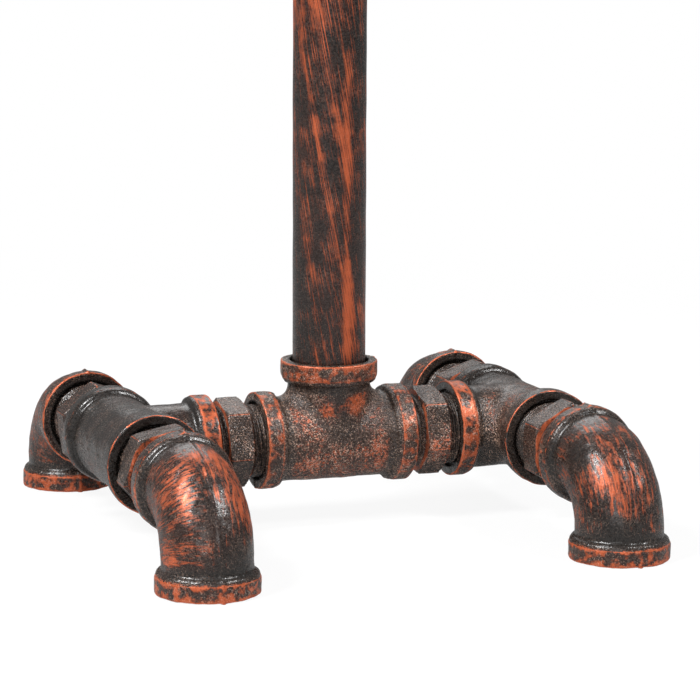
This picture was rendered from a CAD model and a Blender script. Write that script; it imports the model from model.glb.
import bmesh
import bpy
import math
import numpy as np
from mathutils import Matrix, Vector


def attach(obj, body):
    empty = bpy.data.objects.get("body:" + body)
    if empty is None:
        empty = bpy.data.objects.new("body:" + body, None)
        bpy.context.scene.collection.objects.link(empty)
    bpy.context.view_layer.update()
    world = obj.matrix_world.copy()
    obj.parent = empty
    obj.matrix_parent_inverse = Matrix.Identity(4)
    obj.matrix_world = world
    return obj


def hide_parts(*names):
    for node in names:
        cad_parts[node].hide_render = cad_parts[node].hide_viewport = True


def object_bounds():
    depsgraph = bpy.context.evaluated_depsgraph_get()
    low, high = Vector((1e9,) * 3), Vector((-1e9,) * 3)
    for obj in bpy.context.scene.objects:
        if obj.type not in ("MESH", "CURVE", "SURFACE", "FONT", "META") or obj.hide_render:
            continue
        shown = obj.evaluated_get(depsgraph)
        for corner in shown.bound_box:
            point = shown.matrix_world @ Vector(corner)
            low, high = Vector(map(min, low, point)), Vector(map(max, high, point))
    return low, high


# Looks of the pipe table lamp. Sizes are in millimetres and are turned to metres where a mesh is made.

MM = 0.001

# Castings
BODY_R = 19.7
ELBOW_BODY_R = 19.6
BRANCH_STEP = 0.4  # how much thinner a tee's branch is
BAND_R = 22.5
BAND_WIDTH = 7.7
BAND_ROUND = 1.1
COLLAR_WIDTH = 10.4  # band and shoulder
SHOULDER_DROP = 0.35
SHOULDER_ROUND = 3.4
BODY_INSET = 1.0  # how far inside a mouth the plain body stops
FILLET = 1.0  # between a body and its collar
CROTCH_ROUND = 6.0  # between a tee's run and its branch
FEMALE_R = 15.95
FEMALE_DEPTH = 15.0
RECESS_R = 18.1
RECESS_DEPTH = 3.0
RECESS_ROUND = 0.6
MOUTH_ROUND = 0.7
PASSAGE_R = 13.6
CENTRAL_HALF_RUN = 36.25
SIDE_HALF_RUN = 39.6
BRANCH_REACH = 35.95
ELBOW_REACH = 38.9
BEND_R = 27.0
CAP_HEIGHT = 29.0
CAP_DOME = 14.0  # rounding of the cap's top
CAP_ROOF = 4.5
ROD_HOLE_R = 4.95
CAST_STEP = 0.65  # size of the cells that a casting is meshed with
CAST_SHRINK = 0.25  # keeps the uneven skin inside the casting's size
LUMP_SIZE = 11.0  # the skin's wide and small unevenness
LUMP_HEIGHT = 0.16
PEBBLE_SIZE = 3.5
PEBBLE_HEIGHT = 0.07

# Cord inlet in the back of the central tee
INLET_R = 4.5
INLET_SEAT_R = 6.8
INLET_SEAT_DEPTH = 1.2

# Pipe, nipples and threads
PIPE_R = 16.7
PIPE_BORE_R = 13.3
THREAD_R = 15.9
THREAD_PITCH = 2.2
THREAD_ROW = 0.28  # between two rows of corners along a thread
ENGAGED = 13.0  # how far a male thread goes into a fitting
CHAMFER = 0.8
NIPPLE_BORE_R = 12.5
HEX_FLATS = 36.5
HEX_CORNER_R = 20.72  # the hexagon's corners are worn to this
HEX_TURNED_R = 21.2
CROSSBAR_GAP = 21.7  # between two bands
FOOT_GAP = 35.6

# Places
AXIS_Z = 38.9
SIDE_X = 93.9
FOOT_Y = 114.1
CROSSBAR_NIPPLE_X = 47.1
FOOT_NIPPLE_Y = 57.4
STEM_FOOT = 61.85
STEM_TOP = 366.85
STEM_THREAD = 11.0
HOLDER_Z = 384.35  # foot of the lampholder
KEY_RISE = 31.5  # turn key's pivot above that foot

# Bulb, its heights from the foot of the lampholder
BULB_NECK_R = 12.4
BULB_THROAT_R = 13.5
BULB_R = 32.0
BULB_FOOT = 58.0
HOLDER_TOP = 65.0
THROAT_TOP = 84.0
BULB_TOP = 182.0
GLASS = 0.8

# Turn key, measured along its pivot from the lampholder's axis
HUB_AT = 20.1
HUB_HALF = 2.25
HUB_R = 3.1
KEY_BORE_R = 1.55
KEY_BORE_END = 20.75
BLADE_AT = 25.2
BLADE_ROUND = 3.35
BLADE_HALF_THICK = 1.12
RIBS_AT = 25.6
RIB_PITCH = 1.7
RIB_HEIGHT = 0.3
KEY_STEP = 0.22  # size of the cells that the key is meshed with

# Paint and light
STREAK_LEAN = 0.0115  # radians of lean for each millimetre up the pipe
BLACK = (0.0115, 0.0108, 0.0102, 1)
PIT = (0.004, 0.004, 0.004, 1)
RUST = (0.11, 0.028, 0.014, 1)
COPPER = (0.46, 0.092, 0.030, 1)
FROST = (0.56, 0.37, 0.28, 1)
BROWN = (0.06, 0.036, 0.026, 1)
WHITE = (1, 1, 1, 1)
PAPER = (0.88, 0.88, 0.88, 1)
MIRRORED_PAPER = (0.3, 0.3, 0.3, 1)
SKY = 0.11  # how much light the background gives
MIRRORED_SHARE = 0.18  # how bright the background is in reflections
SHADOWED_SHARE = 0.91  # how much of the floor's white near the lamp is its own, not from the lights

# Rubbing by place, added to a fitting's own: each is a place, a size and an amount
RUBBED = {
    "central_tee": [
        ((7.6, -18, 58), 8, 1.9), ((-7, -18, 53.6), 6, 1.6), ((-20, -13, 52), 8, 1.4),
        ((20, -19, 31), 9, 1.2), ((-20, -17, 29), 8, 0.9), ((0, -15, 26), 12, 0.7),
        ((0, -18, 63), 5, -1.2), ((28, -10, 50), 7, -0.8), ((0, -20, 46), 7, -1.2),
        ((-14, -14, 60), 6, -1.0), ((20, -14, 50), 7, 0.5),
    ],
    "side_tee_left": [((-72, -17, 50), 7, 1.2), ((-106, -8, 54), 9, -0.5)],
    "side_tee_right": [
        ((72, -19, 43), 8, 2.2), ((78, -14, 51), 7, 1.2), ((88, -25, 55), 14, 1.2), ((100, -5, 57), 14, 0.9),
    ],
    "foot_elbow_front_left": [
        ((-110, -113, 41), 10, 0.9), ((-105, -110, 49), 8, 0.5), ((-113, -117, 14), 8, 1.6),
        ((-81.5, -119, 39), 8, 1.2), ((-83, -110, 48), 9, 1.1), ((-92, -127, 35), 6, -0.8),
        ((-83, -130, 16), 9, -2.0), ((-97, -90, 58), 6, -0.7), ((-88, -100, 55), 8, 1.3),
        ((-101, -106, 53), 8, 0.7), ((-80, -121, 30), 7, 0.8), ((-92, -120, 42), 5, 0.7),
    ],
    "foot_elbow_front_right": [
        ((83, -105, 51), 9, 0.4), ((81, -121, 37), 9, 1.2), ((90, -128, 30), 8, 0.8),
        ((97, -126, 37), 8, 0.3), ((86, -131, 14), 8, -2.6), ((77, -104, 45), 7, -1.7),
        ((106, -126, 26), 9, -0.6), ((88, -131, 26), 6, 1.0),
    ],
    "foot_elbow_back_left": [((-94, 125, 25), 30, 0.5), ((-100, 110, 50), 20, 0.4)],
    "crossbar_nipple_right": [((48, -19, 32), 9, 1.4)],
}

# Fine speckle by place, in the same way
DUSTED = {
    "central_tee": [
        ((-20, -13, 51), 9, 0.7), ((20, -14, 51), 9, 0.7), ((0, -17, 28), 15, 0.3), ((0, -18, 56), 8, -0.6),
    ],
    "side_tee_right": [((73, -18, 43), 10, 1.2)],
    "crossbar_nipple_right": [((48, -19, 34), 10, 0.6)],
}

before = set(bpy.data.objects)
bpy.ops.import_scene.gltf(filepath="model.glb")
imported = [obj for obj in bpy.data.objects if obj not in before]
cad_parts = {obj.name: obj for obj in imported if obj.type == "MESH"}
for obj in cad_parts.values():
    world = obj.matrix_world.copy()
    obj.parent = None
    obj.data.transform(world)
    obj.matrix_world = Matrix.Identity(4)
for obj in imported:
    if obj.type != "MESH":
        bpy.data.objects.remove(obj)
cad_low, cad_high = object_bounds()


def soft_union(a, b, k):
    """Two distances joined, with the inner corner between them filled over the width k."""
    share = np.clip(0.5 + 0.5 * (b - a) / k, 0, 1)
    return b * (1 - share) + a * share - k * share * (1 - share)


def soft_both(a, b, k):
    """What two shapes have in common, with the edge between them rounded over the width k."""
    return -soft_union(-a, -b, k)


def collar(rho, depth):
    """The raised band at a mouth, with its rounded shoulder. Depth is measured from the mouth inwards."""
    band = soft_both(rho - BAND_R, np.maximum(-depth, depth - BAND_WIDTH), BAND_ROUND)
    ends = np.maximum(-depth, depth - COLLAR_WIDTH)
    shoulder = soft_both(rho - BAND_R + SHOULDER_DROP, ends, SHOULDER_ROUND)
    return soft_union(band, shoulder, 0.3)


def mouth_bore(rho, depth):
    """The recess in a mouth and the threaded bore behind it."""
    recess = soft_both(rho - RECESS_R, depth - RECESS_DEPTH, RECESS_ROUND)
    thread = np.maximum(rho - FEMALE_R, depth - FEMALE_DEPTH)
    return np.minimum(recess, thread)


def tee_ends(p, half_run, reach):
    """Distance from the axis and depth from the mouth, at a tee's two run ends and its branch."""
    x, y, z = p.T
    run_rho = np.hypot(y, z)
    return (run_rho, half_run - x), (run_rho, half_run + x), (np.hypot(x, y), reach - z)


def tee_shape(p, half_run, reach):
    """Distance to a tee's surface: its run is along X and its branch is up."""
    x, y, z = p.T
    run_rho = np.hypot(y, z)
    branch_rho = np.hypot(x, y)
    run = np.maximum(run_rho - BODY_R, abs(x) - half_run + BODY_INSET)
    branch = np.maximum(branch_rho - BODY_R + BRANCH_STEP, z - reach + BODY_INSET)
    same_way = y * y / (run_rho * branch_rho + 1e-6)
    shape = soft_union(run, np.maximum(branch, -z), CROTCH_ROUND * (1 - same_way) + 0.3)
    bore = np.minimum(run_rho - PASSAGE_R, np.maximum(branch_rho - PASSAGE_R, -z))
    for rho, depth in tee_ends(p, half_run, reach):
        shape = soft_union(shape, collar(rho, depth), FILLET)
        bore = np.minimum(bore, mouth_bore(rho, depth))
    return soft_both(shape, -bore, MOUTH_ROUND)


def central_tee_shape(p):
    """Distance to the central tee's surface, with the grommet's hole and its seat in the back."""
    x, y, z = p.T
    rho = np.hypot(x, z)
    seat = np.maximum(rho - INLET_SEAT_R, BODY_R - INLET_SEAT_DEPTH - y)
    inlet = np.minimum(np.maximum(rho - INLET_R, -y), seat)
    return np.maximum(tee_shape(p, CENTRAL_HALF_RUN, BRANCH_REACH), -inlet)


def side_tee_shape(p):
    """Distance to a side tee's surface."""
    return tee_shape(p, SIDE_HALF_RUN, BRANCH_REACH)


def elbow_route(p):
    """A point's place in an elbow: to its side, outwards from the bend, and along it from the foot."""
    x, y, z = p.T
    stub = ELBOW_REACH - BEND_R
    ring = np.hypot(y - BEND_R, z + BEND_R)
    turn = np.arctan2(z + BEND_R, BEND_R - y)
    upright = z < -BEND_R
    level = (y > BEND_R) & ~upright
    outward = np.where(upright, -y, np.where(level, z, ring - BEND_R))
    bent = stub + BEND_R * np.clip(turn, 0, math.pi / 2)
    end = stub + BEND_R * math.pi / 2
    along = np.where(upright, z + ELBOW_REACH, np.where(level, end + y - BEND_R, bent))
    return x, outward, along


def elbow_ends(p):
    """Distance from the axis and depth from the mouth, at an elbow's foot and at its level end."""
    x, y, z = p.T
    return (np.hypot(x, y), z + ELBOW_REACH), (np.hypot(x, z), ELBOW_REACH - y)


def elbow_shape(p):
    """Distance to an elbow's surface: one mouth is down and one is towards +Y."""
    side, outward, _ = elbow_route(p)
    rho = np.hypot(side, outward)
    ends = np.maximum(BODY_INSET - ELBOW_REACH - p[:, 2], p[:, 1] - ELBOW_REACH + BODY_INSET)
    shape = np.maximum(rho - ELBOW_BODY_R, ends)
    bore = rho - PASSAGE_R
    for mouth_rho, depth in elbow_ends(p):
        shape = soft_union(shape, collar(mouth_rho, depth), FILLET)
        bore = np.minimum(bore, mouth_bore(mouth_rho, depth))
    return soft_both(shape, -bore, MOUTH_ROUND)


def cap_shape(p):
    """Distance to the round cap's surface, its mouth down."""
    x, y, z = p.T
    rho = np.hypot(x, y)
    dome = soft_both(rho - BODY_R, z - CAP_HEIGHT, CAP_DOME)
    shape = soft_union(np.maximum(dome, BODY_INSET - z), collar(rho, z), 1.6)
    hollow = np.maximum(rho - PASSAGE_R, z - CAP_HEIGHT + CAP_ROOF)
    bore = np.minimum(np.minimum(hollow, rho - ROD_HOLE_R), mouth_bore(rho, z))
    return soft_both(shape, -bore, MOUTH_ROUND)


def key_shape(p):
    """Distance to the turn key: a waisted hub and a flat blade with finger ribs, its pivot along X."""
    x, y, z = p.T
    hub = soft_both(np.hypot(y, z) - HUB_R, abs(x - HUB_AT) - HUB_HALF, 0.8)
    # the blade widens a little towards its end
    beyond = np.maximum(np.stack([abs(x - BLADE_AT) - 1.1, abs(y) - 3.05 - 0.09 * (x - BLADE_AT)]), 0)
    plan = np.hypot(*beyond) - BLADE_ROUND
    ribbed = np.clip(1 - (abs(x - RIBS_AT) / 2.9) ** 4, 0, 1)
    ribs = RIB_HEIGHT * np.cos(y * 2 * math.pi / RIB_PITCH) * ribbed
    blade = soft_both(plan, abs(z) - BLADE_HALF_THICK - ribs, 1.1)
    bore = np.maximum(np.hypot(y, z) - KEY_BORE_R, x - KEY_BORE_END)
    return np.maximum(soft_union(hub, blade, 1.6), -bore)


def gradient(shape, p, reach=0.05):
    """The direction in which the distance grows."""
    steps = np.eye(3) * reach
    return np.stack([(shape(p + step) - shape(p - step)) / (2 * reach) for step in steps], 1)


def skinned(shape, low, high, step):
    """Corners and quads of the surface where the distance is zero: a corner in each cell it crosses."""
    origin = np.array(low) - step
    count = np.ceil((np.array(high) - low) / step).astype(int) + 3
    places = np.indices(count).reshape(3, -1).T
    value = shape(origin + places * step + 1e-4).reshape(count)
    total = np.zeros((*count, 3))
    hits = np.zeros(count)
    quads = []
    for axis in range(3):
        ahead = np.roll(value, -1, axis)
        crossed = (value < 0) != (ahead < 0)
        start = np.argwhere(crossed)
        here = value[crossed]
        point = start.astype(float)
        point[:, axis] += here / (here - ahead[crossed])
        cells = []
        for back_u, back_v in ((0, 0), (1, 0), (1, 1), (0, 1)):
            cell = start.copy()
            cell[:, (axis + 1) % 3] -= back_u
            cell[:, (axis + 2) % 3] -= back_v
            total[tuple(cell.T)] += point
            hits[tuple(cell.T)] += 1
            cells.append(np.ravel_multi_index(tuple(cell.T), count))
        quad = np.stack(cells, 1)
        quad[here >= 0] = quad[here >= 0][:, ::-1]
        quads.append(quad)
    used = np.flatnonzero(hits)
    number = np.zeros(hits.size, int)
    number[used] = np.arange(len(used))
    corners = origin + total.reshape(-1, 3)[used] / hits.ravel()[used, None] * step
    # each corner is drawn on to the surface
    for _ in range(3):
        slope = gradient(shape, corners)
        corners -= slope * (shape(corners) / (slope ** 2).sum(1).clip(0.3))[:, None]
    return corners, number[np.concatenate(quads)]


def turned(rows, count):
    """Corners and quads of a ring of rows, each a height and its radii round the axis."""
    angle = np.arange(count) * 2 * math.pi / count
    radii = np.array([np.broadcast_to(radius, count) for _, radius in rows])
    heights = np.repeat([height for height, _ in rows], count)
    around = np.tile(angle, len(rows))
    corners = np.stack([radii.ravel() * np.cos(around), radii.ravel() * np.sin(around), heights], 1)
    row, column = np.meshgrid(np.arange(len(rows)), np.arange(count), indexing="ij")
    next_row, next_column = (row + 1) % len(rows), (column + 1) % count
    quads = [row * count + column, row * count + next_column]
    quads += [next_row * count + next_column, next_row * count + column]
    return corners, np.stack([q.ravel() for q in quads], 1)


def waves(p, size, seed, number=40):
    """A smooth random field of the given grain size, about -1 to 1."""
    rng = np.random.default_rng(seed)
    ways = rng.normal(size=(3, number)) * 2.2 / size
    phases = rng.uniform(0, 6.28, number)
    return np.sin(p @ ways + phases).sum(1) / math.sqrt(number)


def name_seed(name):
    """A seed that is always the same for a piece."""
    return sum(map(ord, name))


def add_piece(name, nodes, corners, faces, material, body="stand", slot="iron", **values):
    """Makes a mesh piece that stands for CAD nodes, with named values on its corners for its material."""
    mesh = bpy.data.meshes.new(name)
    mesh.from_pydata((corners * MM).tolist(), [], faces.tolist())
    mesh.polygons.foreach_set("use_smooth", np.ones(len(mesh.polygons), bool))
    for key, value in values.items():
        flat = np.asarray(value, np.float32)
        kind, field = ("FLOAT_VECTOR", "vector") if flat.ndim == 2 else ("FLOAT", "value")
        layer = mesh.attributes.new(key, kind, "POINT")
        layer.data.foreach_set(field, flat.ravel())
    mesh.materials.append(material)
    made = bpy.data.objects.new(name, mesh)
    bpy.context.scene.collection.objects.link(made)
    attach(made, body)
    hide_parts(*nodes)
    return made


def fill_sockets(tree, pairs):
    """Gives each socket its number or colour, or links it to another node's output."""
    for socket, value in pairs:
        if isinstance(value, bpy.types.NodeSocket):
            tree.links.new(value, socket)
        else:
            socket.default_value = value


def add_node(tree, kind, output=0, values=(), settings=(), **inputs):
    """Adds one shader node and returns its output. Values fill its first inputs, and None leaves one out."""
    made = tree.nodes.new("ShaderNode" + kind)
    for key, value in dict(settings).items():
        setattr(made, key, value)
    pairs = [(made.inputs[i], value) for i, value in enumerate(values) if value is not None]
    pairs += [(made.inputs[key.replace("_", " ")], value) for key, value in inputs.items()]
    fill_sockets(tree, pairs)
    return made.outputs[output]


def reckon(tree, sum_kind, *values):
    """A sum of one, two or three values."""
    return add_node(tree, "Math", values=values, settings={"operation": sum_kind})


def scaled(tree, vector, factors):
    """A vector with each of its parts made larger or smaller by its own factor."""
    return add_node(tree, "VectorMath", values=[vector, factors], settings={"operation": "MULTIPLY"})


def remap(tree, value, low, high, to_low=0.0, to_high=1.0):
    """A smooth step from one level to another, while the value goes from low to high."""
    return add_node(tree, "MapRange", settings={"interpolation_type": "SMOOTHSTEP"},
                    Value=value, From_Min=low, From_Max=high, To_Min=to_low, To_Max=to_high)


def mix_values(tree, share, a, b):
    """A number between two others: a where the share is nought and b where it is one."""
    return add_node(tree, "Mix", values=[share, None, a, b])


def mix_colour(tree, share, a, b):
    """A colour between two others: a where the share is nought and b where it is one."""
    made = tree.nodes.new("ShaderNodeMix")
    made.data_type = "RGBA"
    # a colour mix has its share in socket 0 and its two colours in sockets 6 and 7
    fill_sockets(tree, zip((made.inputs[0], made.inputs[6], made.inputs[7]), (share, a, b)))
    return made.outputs[2]


def grey_noise(tree, vector, scale, detail=3.0, roughness=0.55):
    """Smooth random grey, from nought to one."""
    return add_node(tree, "TexNoise", Vector=vector, Scale=scale, Detail=detail, Roughness=roughness)


def new_material(name):
    """An empty material and its node tree."""
    material = bpy.data.materials.new(name)
    material.use_nodes = True
    material.node_tree.nodes.clear()
    return material, material.node_tree


def close_material(tree, shader):
    """Makes a shader the surface of its material."""
    out = tree.nodes.new("ShaderNodeOutputMaterial")
    tree.links.new(shader, out.inputs["Surface"])


def edge_line(tree, read):
    """One along a band's or a hexagon's worn edges, by the distances from them that the corners hold."""
    parts = add_node(tree, "SeparateXYZ", Vector=read("edges", 1)).node.outputs
    near = reckon(tree, "MINIMUM", reckon(tree, "ABSOLUTE", parts[0]), reckon(tree, "ABSOLUTE", parts[1]))
    return reckon(tree, "MULTIPLY", remap(tree, near, 0.05, 0.5, 1.0, 0.0), parts[2])


def iron_paint():
    """Black paint over cast iron, rubbed with copper red.

    The values on the corners steer it: wear is how much is rubbed, curve is below zero in a crease, lay is
    nought for strokes round the pipe and one for strokes along it, grainy is speckle in place of strokes,
    banded is mottling in place of both, route is a place along the fitting, and edges are the worn edges.
    """
    material, tree = new_material("rubbed_iron_paint")

    def read(name, output=2):
        return add_node(tree, "Attribute", output, settings={"attribute_name": name})

    def noise(vector, scale, detail, roughness):
        """Noise about zero, with a spread of about one."""
        grey = grey_noise(tree, vector, scale, detail, roughness)
        return reckon(tree, "MULTIPLY", reckon(tree, "SUBTRACT", grey, 0.5), 8.0)

    wear = read("wear")
    grainy = read("grainy")
    route = read("route", 1)
    place = add_node(tree, "TexCoord", 3)
    lengthwise = noise(scaled(tree, route, (0.8, 0.8, 0.12)), 1.0, 5.0, 0.68)
    across = noise(scaled(tree, route, (0.16, 0.16, 1.0)), 1.0, 5.0, 0.68)
    haze = noise(place, 45.0, 3.0, 0.5)
    patch = noise(place, 120.0, 5.0, 0.62)
    mottle = noise(place, 280.0, 5.0, 0.6)
    grain = noise(place, 900.0, 2.0, 0.5)
    speck = noise(place, 1900.0, 1.0, 0.5)

    # how far each point is rubbed: above zero, copper shows
    texture = mix_values(tree, read("lay"), across, lengthwise)
    texture = mix_values(tree, grainy, texture, reckon(tree, "MULTIPLY", grain, 0.6))
    texture = mix_values(tree, read("banded"), texture, mottle)
    level = reckon(tree, "MULTIPLY_ADD", patch, 0.5, reckon(tree, "MULTIPLY", texture, 1.45))
    level = reckon(tree, "ADD", level, wear)
    broken = remap(tree, patch, -1.9, -0.2, 0.5, 3.0)
    level = reckon(tree, "MULTIPLY_ADD", edge_line(tree, read), broken, level)
    level = reckon(tree, "ADD", level, remap(tree, read("curve"), -0.2, -0.03, -2.6, 0.0))
    spread = reckon(tree, "MULTIPLY_ADD", grainy, 0.65, 0.22)
    rub = remap(tree, level, reckon(tree, "SUBTRACT", 0.1, spread), reckon(tree, "ADD", 0.1, spread))

    # black with a thin red veil under the copper
    veil = remap(tree, reckon(tree, "ADD", haze, wear), -3.0, 2.5, 0.0, 0.14)
    under = mix_colour(tree, remap(tree, grain, -1.6, 0.4), PIT, BLACK)
    under = mix_colour(tree, veil, under, RUST)
    under = mix_colour(tree, reckon(tree, "MULTIPLY", grainy, 0.45), under, BROWN)
    copper = mix_colour(tree, remap(tree, level, 0.0, 1.7), RUST, COPPER)
    colour = mix_colour(tree, rub, under, copper)

    # pale glints and dark pits of the speckled parts
    dusty = reckon(tree, "MULTIPLY_ADD", grainy, 0.8, 0.05)
    glint = remap(tree, reckon(tree, "MULTIPLY_ADD", patch, 0.4, speck), 0.45, 1.75)
    glint = reckon(tree, "MULTIPLY", glint, dusty)
    glint = reckon(tree, "MULTIPLY", glint, remap(tree, wear, -4.0, -1.0, 0.1, 1.0))
    colour = mix_colour(tree, glint, colour, FROST)
    dark = reckon(tree, "MULTIPLY", remap(tree, speck, -0.4, -1.8), dusty)
    colour = mix_colour(tree, dark, colour, PIT)

    # gloss and relief
    rough = reckon(tree, "MULTIPLY_ADD", remap(tree, grain, -1.5, 1.5), 0.14, 0.2)
    rough = reckon(tree, "MULTIPLY_ADD", rub, 0.15, rough)
    metallic = reckon(tree, "MULTIPLY", rub, 0.35)
    relief = reckon(tree, "MULTIPLY_ADD", speck, 0.7, reckon(tree, "MULTIPLY_ADD", rub, 0.5, grain))
    strength = reckon(tree, "MULTIPLY_ADD", grainy, 0.85, 0.12)
    strength = reckon(tree, "MULTIPLY", strength, remap(tree, rub, 0.0, 1.0, 1.0, 0.55))
    bump = add_node(tree, "Bump", Strength=strength, Distance=0.00005, Height=relief)
    shader = add_node(tree, "BsdfPrincipled", Base_Color=colour, Metallic=metallic, Roughness=rough,
                      Normal=bump)
    shader.node.inputs["Specular IOR Level"].default_value = 0.45
    close_material(tree, shader)
    return material


def aged(name, fresh, dull, rough, metallic=0.0, tarnish=0.5, relief=0.00002):
    """A finish with dull patches, fine scratches round the part and a fine grain."""
    material, tree = new_material(name)
    place = add_node(tree, "TexCoord", 3)
    patches = grey_noise(tree, place, 130.0, 5.0, 0.65)
    scratches = grey_noise(tree, scaled(tree, place, (60, 60, 2600)), 1.0, 3.0, 0.6)
    fine = grey_noise(tree, place, 900.0)
    share = remap(tree, reckon(tree, "MULTIPLY_ADD", scratches, 0.35, patches), tarnish, tarnish + 0.34)
    colour = mix_colour(tree, share, fresh, dull)
    grained = reckon(tree, "MULTIPLY_ADD", fine, 0.12, rough - 0.06)
    rougher = reckon(tree, "MULTIPLY_ADD", share, 0.18, grained)
    height = reckon(tree, "MULTIPLY_ADD", scratches, 0.6, fine)
    bump = add_node(tree, "Bump", Strength=0.6, Distance=relief, Height=height)
    shader = add_node(tree, "BsdfPrincipled", Base_Color=colour, Roughness=rougher, Normal=bump)
    shader.node.inputs["Metallic"].default_value = metallic
    close_material(tree, shader)
    return material


def clear_glass():
    """Thin clear glass with a faint warm tint, slight waviness and a little dust."""
    material, tree = new_material("clear_glass")
    place = add_node(tree, "TexCoord", 3)
    waviness = grey_noise(tree, place, 40.0, 2.0)
    dust = remap(tree, grey_noise(tree, place, 700.0, 5.0, 0.7), 0.62, 0.8, 0.0, 0.25)
    tint = mix_colour(tree, waviness, (0.97, 0.96, 0.93, 1), (0.99, 0.985, 0.97, 1))
    bump = add_node(tree, "Bump", Strength=0.3, Distance=0.0002, Height=waviness)
    shader = add_node(tree, "BsdfPrincipled", Base_Color=tint, Roughness=dust, Normal=bump)
    shader.node.inputs["Transmission Weight"].default_value = 1.0
    shader.node.inputs["IOR"].default_value = 1.46
    close_material(tree, shader)
    return material


def look_from_photo():
    """The camera, where the photograph was taken from."""
    across = math.radians(-20.146)
    down = math.radians(9.412)
    lean = math.radians(0.229)
    place = Vector((-0.43361, -1.2099, 0.2919))
    ahead = Vector((-math.sin(across) * math.cos(down), math.cos(across) * math.cos(down), -math.sin(down)))
    level_right = Vector((math.cos(across), math.sin(across), 0))
    level_up = level_right.cross(ahead)
    right = level_right * math.cos(lean) + level_up * math.sin(lean)
    up = level_up * math.cos(lean) - level_right * math.sin(lean)
    camera = bpy.data.cameras.new("camera")
    camera.sensor_width = 36
    camera.lens = 146.176
    camera.clip_end = 20
    holder = bpy.data.objects.new("camera", camera)
    bpy.context.scene.collection.objects.link(holder)
    holder.matrix_world = Matrix.Translation(place) @ Matrix((right, up, -ahead)).transposed().to_4x4()
    bpy.context.scene.camera = holder


def add_light(name, place, aim, size, power):
    """A soft rectangular light that points at its aim."""
    lamp = bpy.data.lights.new(name, "AREA")
    lamp.shape = "RECTANGLE"
    lamp.size, lamp.size_y = size
    lamp.energy = power
    holder = bpy.data.objects.new(name, lamp)
    bpy.context.scene.collection.objects.link(holder)
    holder.location = place
    holder.rotation_euler = (Vector(aim) - Vector(place)).to_track_quat("-Z", "Y").to_euler()


def seen_rays(tree):
    """One for the rays that show the background: straight from the camera, mirrored or through glass."""
    rays = add_node(tree, "LightPath").node.outputs
    mirrored = reckon(tree, "MULTIPLY", rays["Is Glossy Ray"], MIRRORED_SHARE)
    direct = reckon(tree, "MAXIMUM", rays["Is Camera Ray"], mirrored)
    return reckon(tree, "MAXIMUM", direct, rays["Is Transmission Ray"])


def add_floor():
    """A white floor that takes the lamp's shadow near it, and is plain white further off."""
    mesh = bpy.data.meshes.new("floor")
    half = 60.0
    rim = [(-half, -half, 0), (half, -half, 0), (half, half, 0), (-half, half, 0)]
    mesh.from_pydata(rim, [], [(0, 1, 2, 3)])
    floor = bpy.data.objects.new("floor", mesh)
    bpy.context.scene.collection.objects.link(floor)
    material, tree = new_material("studio_floor")
    glossy = add_node(tree, "LightPath").node.outputs["Is Glossy Ray"]
    paper = add_node(tree, "BsdfDiffuse", Color=mix_colour(tree, glossy, PAPER, MIRRORED_PAPER))
    lit = add_node(tree, "Emission", Color=WHITE, Strength=1.0)
    place = add_node(tree, "TexCoord", 3)
    reach = add_node(tree, "VectorMath", 1, values=[place], settings={"operation": "LENGTH"})
    share = reckon(tree, "MULTIPLY", seen_rays(tree), remap(tree, reach, 0.4, 1.0, SHADOWED_SHARE, 1.0))
    close_material(tree, add_node(tree, "MixShader", values=[share, paper, lit]))
    mesh.materials.append(material)


def add_studio():
    """The floor, a white world and soft lights."""
    add_floor()
    world = bpy.data.worlds.new("world")
    bpy.context.scene.world = world
    world.use_nodes = True
    tree = world.node_tree
    tree.nodes.clear()
    sky = add_node(tree, "Background", Color=WHITE, Strength=SKY)
    plain = add_node(tree, "Background", Color=WHITE, Strength=1.0)
    both = add_node(tree, "MixShader", values=[seen_rays(tree), sky, plain])
    out = tree.nodes.new("ShaderNodeOutputWorld")
    tree.links.new(both, out.inputs["Surface"])
    add_light("left_light", place=(-0.95, -0.25, 1.2), aim=(0, 0, 0.08), size=(0.36, 0.45), power=29)
    add_light("right_light", place=(0.75, -0.7, 1.2), aim=(0, 0, 0.08), size=(0.28, 0.32), power=17)
    add_light("front_light", place=(-0.9, -2.0, 0.9), aim=(0, 0, 0.15), size=(0.7, 0.7), power=9)
    add_light("back_light", place=(0.3, 1.4, 1.3), aim=(0, 0, 0.2), size=(1.0, 0.8), power=8)
    bpy.context.scene.view_settings.view_transform = "Standard"


def curving(shape, p, reach=0.7):
    """How sharply a surface curves: above zero at an edge, below zero in a crease."""
    total = -6 * shape(p)
    for step in np.eye(3) * reach:
        total += shape(p + step) + shape(p - step)
    return np.clip(total / reach ** 2, -1, 1.5)


def spots(p, places):
    """More or less rubbing round some places."""
    total = np.zeros(len(p))
    for place, size, amount in places:
        total += amount * np.exp(-((p - place) ** 2).sum(1) / size ** 2)
    return total


def on_band_share(rho, depth):
    """One on the outside of a collar's band and nought elsewhere."""
    return np.clip((rho - BAND_R + 1.4) / 0.6, 0, 1) * np.clip((BAND_WIDTH + 0.8 - depth) / 0.8, 0, 1)


def collar_wear(rho, depth, on_band):
    """Rubbing on a collar: a mottled band with worn rims, a dark neck beside it and a dark mouth."""
    band = on_band_share(rho, depth)
    neck = np.clip((rho - 17) / 2, 0, 1) * np.exp(-((depth - 11.0) / 2.6) ** 4) * (1 - band)
    inside = np.clip((RECESS_R + 1 - rho) / 0.8, 0, 1) * (depth < FEMALE_DEPTH + 1)
    from_edge = np.minimum(abs(depth - 0.5), abs(depth - BAND_WIDTH))
    rim = band * 1.3 * np.exp(-(from_edge / 1.1) ** 2)
    face = np.clip((BAND_R - 0.9 - rho) / 0.5, 0, 1) * (depth < 0.8)
    return (band * on_band + rim) * (1 - face) - 1.8 * neck - 4.0 * inside - 1.5 * face


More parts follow.
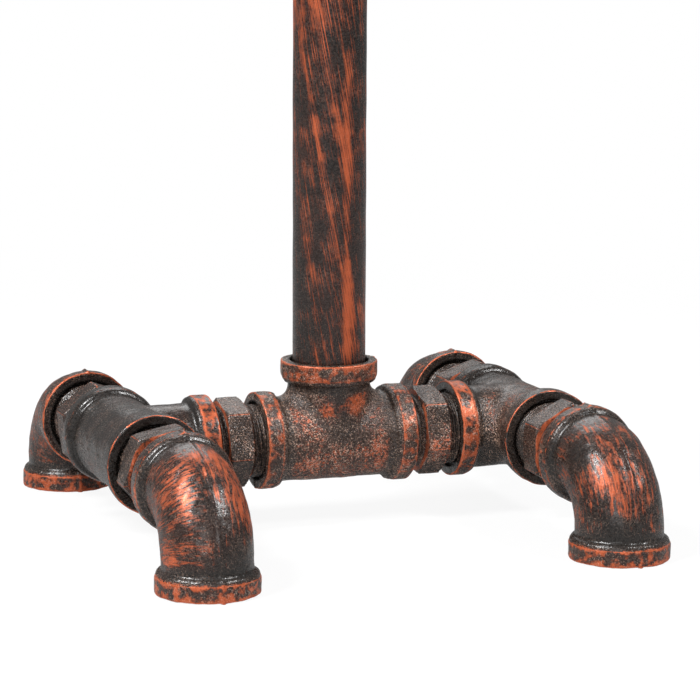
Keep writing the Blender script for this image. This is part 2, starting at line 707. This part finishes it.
def collar_edges(ends, trim=1.0):
    """How far a corner is from the nearest collar's two outer edges, and how much the line there shows."""
    nearest = np.argmin([np.abs(depth) + np.abs(rho - BAND_R) for rho, depth in ends], 0)
    pick = np.arange(len(nearest))
    rho = np.array([end[0] for end in ends])[nearest, pick]
    depth = np.array([end[1] for end in ends])[nearest, pick]
    outer = np.clip((rho - BAND_R + 1.1) / 0.5, 0, 1)
    return np.stack([abs(depth - BAND_WIDTH + 0.15) + 0.15, depth - 0.4, outer * trim], 1)


def collars(ends, amounts, trim):
    """The values that a casting's collars give its corners. Each end has its own amount of rubbing."""
    return {
        "wear": sum(collar_wear(*end, amount) for end, amount in zip(ends, amounts)),
        "banded": sum(on_band_share(*end) for end in ends),
        "edges": collar_edges(ends, trim),
    }


def describe_tee(half_run, wear, on_run, on_branch, grainy, trim):
    """Says how a tee's corners are rubbed.

    Raised is the height of its parting seam, and free is one where its skin is uneven and nought elsewhere.
    """
    def describe(p):
        x, y, z = p.T
        ends = tee_ends(p, half_run, BRANCH_REACH)
        facts = collars(ends, (on_run, on_run, on_branch), trim)
        inner = np.min([np.where(depth < 14, rho, 99) for rho, depth in ends], 0) < RECESS_R + 0.4
        facts["raised"] = 0.35 * np.exp(-(y / 0.7) ** 2)
        facts["free"] = np.where((np.hypot(y, z) < 14.5) | inner, 0.0, 1.0)
        facts["wear"] += wear
        facts["lay"] = np.full_like(x, 0.5)
        facts["grainy"] = np.full_like(x, grainy)
        facts["route"] = np.stack([y, z, x], 1)
        return facts
    return describe


def describe_elbow(wear, on_top, on_foot, lay):
    """Says how an elbow's corners are rubbed. Its strokes follow the bend or go round it, as lay says."""
    def describe(p):
        side, outward, along = elbow_route(p)
        rho = np.hypot(side, outward)
        on_collar = np.clip((rho - 20.6) / 0.8, 0, 1)
        facts = collars(elbow_ends(p), (on_foot, on_top), 1.3)
        facts["raised"] = (0.45 + 0.5 * on_collar) * np.exp(-(side / 0.8) ** 2)
        facts["free"] = np.clip((rho - RECESS_R - 0.4) / 0.5, 0, 1)
        facts["wear"] += wear + 1.0 * on_collar * np.exp(-(side / 0.8) ** 2)
        facts["lay"] = np.clip(lay(side), 0, 1) * (1 - on_collar) + on_collar
        facts["grainy"] = 0.2 + 0.2 * on_collar
        facts["route"] = np.stack([side, outward, along * 1.6], 1)
        return facts
    return describe


def describe_cap(p):
    """Says how the cap's corners are rubbed."""
    x, y, z = p.T
    rho = np.hypot(x, y)
    facts = collars([(rho, z)], [0.9], 1.0)
    facts["raised"] = np.zeros_like(x)
    facts["free"] = np.clip((rho - RECESS_R - 0.4) / 0.5, 0, 1) * np.clip((25 - z) / 4, 0, 1)
    facts["wear"] += -0.6
    facts["lay"] = np.full_like(x, 0.2)
    facts["grainy"] = np.full_like(x, 0.5)
    facts["route"] = p
    return facts


def add_casting(name, shape, low, high, turn, place, describe):
    """Meshes one casting in its own axes, adds the unevenness of sand casting and puts it in place."""
    corners, quads = skinned(shape, low, high, CAST_STEP)
    normals = gradient(shape, corners)
    normals /= np.linalg.norm(normals, axis=1)[:, None]
    seed = name_seed(name)
    uneven = LUMP_HEIGHT * waves(corners, LUMP_SIZE, seed)
    uneven += PEBBLE_HEIGHT * waves(corners, PEBBLE_SIZE, seed + 1)
    facts = describe(corners)
    facts["curve"] = curving(shape, corners)
    moved = (uneven - CAST_SHRINK + facts.pop("raised")) * facts.pop("free")
    corners = (corners + normals * moved[:, None]) @ np.array(turn).T + place
    corners = np.clip(corners, np.array(cad_low) / MM, np.array(cad_high) / MM)
    facts["wear"] = facts["wear"] + spots(corners, RUBBED.get(name, ()))
    facts["grainy"] = np.clip(facts["grainy"] + spots(corners, DUSTED.get(name, ())), 0, 1.6)
    return add_piece("painted_" + name, [name], corners, quads, paint, **facts)


def thread_rows(angle, show, start, end):
    """Rows of a taper thread's ridges, worn round and filled with paint, which fade out in the fittings."""
    rows = []
    for height in np.arange(start, end, THREAD_ROW):
        fade = np.clip((show + 0.6 - abs(height)) / 1.2, 0, 1)
        turn = (height / THREAD_PITCH - angle / (2 * math.pi)) % 1
        ridge = np.clip(np.abs(2 * turn - 1) * 1.5 - 0.2, 0, 1)
        rows.append((height, THREAD_R + 1.15 * fade * (ridge - 0.4)))
    return rows


def hexagon_rows(low, high):
    """Heights along a hexagon and the largest radius there, for its faces and its turned ends."""
    tops = ((0.0, 17.0), (0.0, 18.4), (0.12, 19.1), (0.45, 19.9), (0.95, 20.8), (1.5, HEX_TURNED_R))
    rows = [(low + step, radius) for step, radius in tops]
    rows += [(height, HEX_TURNED_R) for height in np.arange(low + 2.2, high - 2.0, 0.7)]
    return rows + [(high - step, radius) for step, radius in reversed(tops)]


def add_nipple(name, gap, width, shift, way, corner, place, wear, grainy):
    """A hexagon nipple: threads on both sides of a hexagon with worn corners.

    The nipple points in a level way, and one corner of its hexagon stands at an angle in degrees.
    """
    count = 216
    angle = np.arange(count) * 2 * math.pi / count
    half = gap / 2 + ENGAGED
    show = gap / 2 + 2.5
    low, high = shift - width / 2, shift + width / 2
    flat = HEX_FLATS / 2 / np.cos((angle % (math.pi / 3)) - math.pi / 6)
    hexagon = np.minimum(flat, HEX_CORNER_R)
    rows = [(-half, NIPPLE_BORE_R), (-half, THREAD_R - CHAMFER), (-show - 2, THREAD_R)]
    rows += thread_rows(angle, show, -show - 1, low - 0.1)
    first = len(rows)
    rows += [(height, np.minimum(hexagon, cut)) for height, cut in hexagon_rows(low, high)]
    last = len(rows)
    rows += thread_rows(angle, show, high + 0.1, show + 1)
    rows += [(show + 2, THREAD_R), (half, THREAD_R - CHAMFER), (half, NIPPLE_BORE_R)]
    corners, quads = turned(rows, count)
    row = np.repeat(np.arange(len(rows)), count)
    face = (row >= first) & (row < last)
    radius = np.hypot(corners[:, 0], corners[:, 1])
    around = np.tile(angle, len(rows))
    corner_gap = np.abs((around + math.pi / 6) % (math.pi / 3) - math.pi / 6) * 20.5
    end_gap = np.minimum(abs(corners[:, 2] - low), abs(corners[:, 2] - high))
    seed = name_seed(name)
    uneven = 0.06 * waves(corners, 4.0, seed) + np.where(face, 0.05 * waves(corners, 9.0, seed + 1), 0)
    outer = np.where(radius > THREAD_R - 0.75, 1.0, 0.0)
    corners[:, :2] *= (1 + uneven * outer / radius)[:, None]
    level = (0, -1, 0) if way[0] else (-1, 0, 0)
    lift = math.radians(corner)
    up = np.array(level) * math.cos(lift) + np.array((0, 0, 1)) * math.sin(lift)
    placed = corners @ np.array([up, np.cross(way, up), way]) + place
    facts = {
        "wear": np.where(face, wear, -1.9) + spots(placed, RUBBED.get(name, ())),
        "curve": np.zeros_like(radius),
        "edges": np.stack([corner_gap + 0.1, end_gap * 1.3 + 0.1, np.where(face, 0.9, 0)], 1),
        "banded": np.zeros_like(radius),
        "lay": np.full_like(radius, 0.5),
        "grainy": grainy + spots(placed, DUSTED.get(name, ())),
        "route": corners,
    }
    return add_piece("painted_" + name, [name], placed, quads, paint, **facts)


def ribbon(angle, height, aim, at, lean, width, low, high):
    """A long rubbed streak on the upright pipe, which leans by an angle for each millimetre of height."""
    off = (angle - math.radians(aim) - lean * (height - at) + math.pi) % (2 * math.pi) - math.pi
    ends = np.clip((height - low) / 14, 0, 1) * np.clip((high - height) / 14, 0, 1)
    return np.exp(-(off * PIPE_R / width) ** 2) * ends


def add_stem():
    """The upright pipe, with streaks that lean along it."""
    start, end = STEM_FOOT + STEM_THREAD, STEM_TOP - STEM_THREAD
    rows = [(STEM_FOOT, PIPE_BORE_R), (STEM_FOOT, THREAD_R), (start, THREAD_R)]
    rows += [(height, PIPE_R) for height in np.arange(start + CHAMFER, end - CHAMFER, 1.2)]
    rows += [(end - CHAMFER, PIPE_R), (end, THREAD_R), (STEM_TOP, THREAD_R), (STEM_TOP, PIPE_BORE_R)]
    corners, quads = turned(rows, 144)
    radius = np.hypot(corners[:, 0], corners[:, 1])
    height = corners[:, 2]
    angle = np.arctan2(corners[:, 1], corners[:, 0])
    outer = np.where(radius > PIPE_R - 0.1, 1.0, 0.0)
    corners[:, :2] *= (1 + 0.06 * waves(corners, 14.0, 5) * outer / radius)[:, None]
    lean = STREAK_LEAN * height
    section = 2.9 * radius
    route = np.stack([section * np.cos(angle + lean), section * np.sin(angle + lean), height * 0.36], 1)
    streaks = 1.9 * ribbon(angle, height, -81, 150, 0.0, 2.2, 72, 225)
    streaks += 0.9 * ribbon(angle, height, -74, 100, 0.0, 3.0, 60, 125)
    streaks += 1.4 * ribbon(angle, height, -122, 165, -STREAK_LEAN, 1.5, 110, 235)
    streaks += 1.1 * ribbon(angle, height, -143, 125, -STREAK_LEAN, 2.2, 90, 160)
    streaks += 0.9 * ribbon(angle, height, -104, 195, -STREAK_LEAN, 3.0, 150, 300)
    streaks += 1.2 * ribbon(angle, height, 20, 250, -STREAK_LEAN, 3.0, 120, 340)
    streaks += 1.2 * ribbon(angle, height, 95, 200, -STREAK_LEAN, 4.0, 90, 350)
    streaks += 1.2 * ribbon(angle, height, 165, 230, STREAK_LEAN, 3.0, 100, 340)
    streaks -= 0.7 * np.clip((110 - height) / 30, 0, 1)
    facts = {
        "wear": -0.55 + 0.85 * streaks + 0.4 * waves(corners, 40.0, 8),
        "curve": np.zeros_like(height),
        "edges": np.zeros_like(corners) + (9, 9, 0),
        "lay": np.ones_like(height),
        "grainy": np.full_like(height, 0.05),
        "banded": np.zeros_like(height),
        "route": route,
    }
    add_piece("painted_stem_pipe", ["stem_pipe"], corners, quads, paint, **facts)


def rounded(points):
    """A smooth profile through corners, each a radius, a height and how far its corner is rounded."""
    rows = []
    for i, (r, z, bend) in enumerate(points):
        here = Vector((r, z))
        if not bend:
            rows.append(here)
            continue
        back = (Vector(points[i - 1][:2]) - here).normalized()
        on = (Vector(points[i + 1][:2]) - here).normalized()
        half = back.angle(on) / 2
        centre = here + (back + on).normalized() * bend / math.sin(half)
        sweep = math.pi - 2 * half
        start = here + back * bend / math.tan(half) - centre
        way = 1 if start.cross(back) < 0 else -1
        steps = max(3, int(sweep * bend / 0.9))
        rows += [centre + Matrix.Rotation(way * sweep * k / steps, 2) @ start for k in range(steps + 1)]
    return [(row.y, row.x) for row in rows]


def bulb_profile(inset):
    """The bulb's outline from its foot to its crown, drawn in by the inset."""
    neck, throat, widest = BULB_NECK_R - inset, BULB_THROAT_R - inset, BULB_R - inset
    top = BULB_TOP - inset
    return rounded([
        (neck, BULB_FOOT, 0),
        (neck, HOLDER_TOP - 1, 3.0 + inset),
        (throat, HOLDER_TOP + 2, 3.0 - inset),
        (throat, THROAT_TOP, 40.0 + inset),
        (widest, BULB_TOP - 40, 50.0),
        (widest, top, widest - 0.02),
        (0, top, 0),
    ])


def add_bulb_glass():
    """The bulb's thin glass, blown in one piece."""
    rows = bulb_profile(0) + bulb_profile(GLASS)[::-1]
    corners, quads = turned(rows, 96)
    corners[:, 2] += HOLDER_Z
    made = add_piece("blown_bulb_glass", ["bulb_glass"], corners, quads, glass, slot="glass")
    # the crown's corners on the axis become one
    welded = bmesh.new()
    welded.from_mesh(made.data)
    bmesh.ops.remove_doubles(welded, verts=welded.verts, dist=1e-6)
    bmesh.ops.recalc_face_normals(welded, faces=welded.faces)
    welded.to_mesh(made.data)
    welded.free()


def add_turn_key():
    """The turn key, which turns as a body of its own."""
    corners, quads = skinned(key_shape, (17.8, -6.6, -3.2), (29.8, 6.6, 3.2), KEY_STEP)
    corners[:, 2] += HOLDER_Z + KEY_RISE
    add_piece("moulded_turn_key", ["turn_key"], corners, quads, moulding, "key", "black_moulding")


def add_tees():
    """The central tee with its branch up, and the side tees with their branches towards the middle."""
    low, high = [-CENTRAL_HALF_RUN, -BAND_R, -BAND_R], [CENTRAL_HALF_RUN, BAND_R, BRANCH_REACH]
    rubbing = describe_tee(CENTRAL_HALF_RUN, wear=-0.6, on_run=0.3, on_branch=0.6, grainy=0.85, trim=0.5)
    add_casting("central_tee", central_tee_shape, low, high, np.eye(3), (0, 0, AXIS_Z), rubbing)
    low, high = [-SIDE_HALF_RUN, -BAND_R, -BAND_R], [SIDE_HALF_RUN, BAND_R, BRANCH_REACH]
    for side, sign, grainy in (("left", -1, 0.15), ("right", 1, 0.35)):
        # the run goes to Y and the branch points to the middle
        turn = np.array([(0, 0, -sign), (1, 0, 0), (0, -sign, 0)], float)
        rubbing = describe_tee(SIDE_HALF_RUN, wear=-1.6, on_run=-0.9, on_branch=1.9, grainy=grainy, trim=1.2)
        add_casting("side_tee_" + side, side_tee_shape, low, high, turn, (sign * SIDE_X, 0, AXIS_Z), rubbing)


def add_elbows():
    """The four elbows that are the feet."""
    # nought is strokes round the pipe, and one is strokes along it
    lays = {
        "front_left": lambda across: (across + 7) / 6,
        "front_right": lambda across: 1 + 0 * across,
        "back_left": lambda across: 0.3 + 0 * across,
        "back_right": lambda across: 0.8 + 0 * across,
    }
    low, high = [-BAND_R, -BAND_R, -ELBOW_REACH], [BAND_R, ELBOW_REACH, BAND_R]
    for foot, lay in lays.items():
        sign = -1 if foot.endswith("left") else 1
        way = 1 if foot.startswith("front") else -1
        rubbing = describe_elbow(wear=-0.42, on_top=-0.5, on_foot=0.6, lay=lay)
        add_casting("foot_elbow_" + foot, elbow_shape, low, high, np.diag([way, way, 1.0]),
                    (sign * SIDE_X, -way * FOOT_Y, AXIS_Z), rubbing)


def add_cap():
    """The drilled cap on the upright pipe."""
    low, high = [-BAND_R, -BAND_R, 0], [BAND_R, BAND_R, CAP_HEIGHT]
    add_casting("stem_cap", cap_shape, low, high, np.eye(3), (0, 0, STEM_TOP - ENGAGED), describe_cap)


def add_nipples():
    """The two nipples of the crossbar and the four that lead to the feet."""
    for side, sign, corner in (("left", -1, 47.0), ("right", 1, 43.5)):
        add_nipple("crossbar_nipple_" + side, CROSSBAR_GAP, 11.4, 0.6, (sign, 0, 0), corner,
                   (sign * CROSSBAR_NIPPLE_X, 0, AXIS_Z), wear=-1.1, grainy=0.65)
    for foot, x, y, shift, corner in (
            ("front_left", -1, -1, -4.0, 48.6), ("front_right", 1, -1, 0.0, 30.0),
            ("back_left", -1, 1, -2.5, 22.0), ("back_right", 1, 1, -1.0, 40.0)):
        add_nipple("foot_nipple_" + foot, FOOT_GAP, 13.5, shift, (0, y, 0), corner,
                   (x * SIDE_X, y * FOOT_NIPPLE_Y, AXIS_Z), wear=-1.3, grainy=0.4)


look_from_photo()
add_studio()
paint = iron_paint()
add_tees()
add_elbows()
add_cap()
add_nipples()
add_stem()

brass_dark = aged("aged_brass", (0.36, 0.22, 0.085, 1), (0.085, 0.052, 0.024, 1), 0.34, 1.0, 0.58)
brass = aged("bright_brass", (0.75, 0.52, 0.22, 1), (0.42, 0.27, 0.10, 1), 0.24, 1.0, 0.68)
steel = aged("steel", (0.52, 0.52, 0.53, 1), (0.24, 0.235, 0.23, 1), 0.3, 1.0, 0.62)
moulding = aged("black_moulding", (0.014, 0.013, 0.013, 1), (0.04, 0.037, 0.035, 1), 0.36, 0.0, 0.7)
fibre = aged("fibre_board", (0.23, 0.12, 0.05, 1), (0.12, 0.06, 0.026, 1), 0.8, 0.0, 0.5, 0.00006)
rubber = aged("black_rubber", (0.016, 0.016, 0.017, 1), (0.04, 0.04, 0.04, 1), 0.62, 0.0, 0.6, 0.00005)
dark_cover = aged("dark_wire_cover", (0.015, 0.015, 0.016, 1), (0.04, 0.04, 0.042, 1), 0.42)
pale_cover = aged("pale_wire_cover", (0.68, 0.66, 0.6, 1), (0.5, 0.47, 0.4, 1), 0.42)
coating = aged("filament_coating", (0.80, 0.50, 0.10, 1), (0.62, 0.34, 0.05, 1), 0.5, 0.0, 0.55, 0.00004)
glass = clear_glass()
brass_parts = ("neck_set_screw", "contact_shell", "centre_contact", "terminal_screws", "terminal_plates")
steel_parts = ("lamp_rod", "rod_locknut", "key_spindle", "filament_leads", "bulb_tip_contact")
for finish, names in (
        (brass_dark, ("holder_cap", "holder_shell", "seating_ring")), (brass, brass_parts + ("bulb_cap",)),
        (steel, steel_parts), (moulding, ("switch_body", "switch_rotor", "bulb_insulator")),
        (fibre, ("insulating_liner",)), (rubber, ("cord_grommet",)), (pale_cover, ("neutral_wire",)),
        (dark_cover, ("live_wire", "wire_connectors")), (coating, ("bulb_filaments",)),
        (glass, ("bulb_mount",))):
    for name in names:
        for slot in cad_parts[name].material_slots:
            slot.material = finish

add_bulb_glass()
add_turn_key()
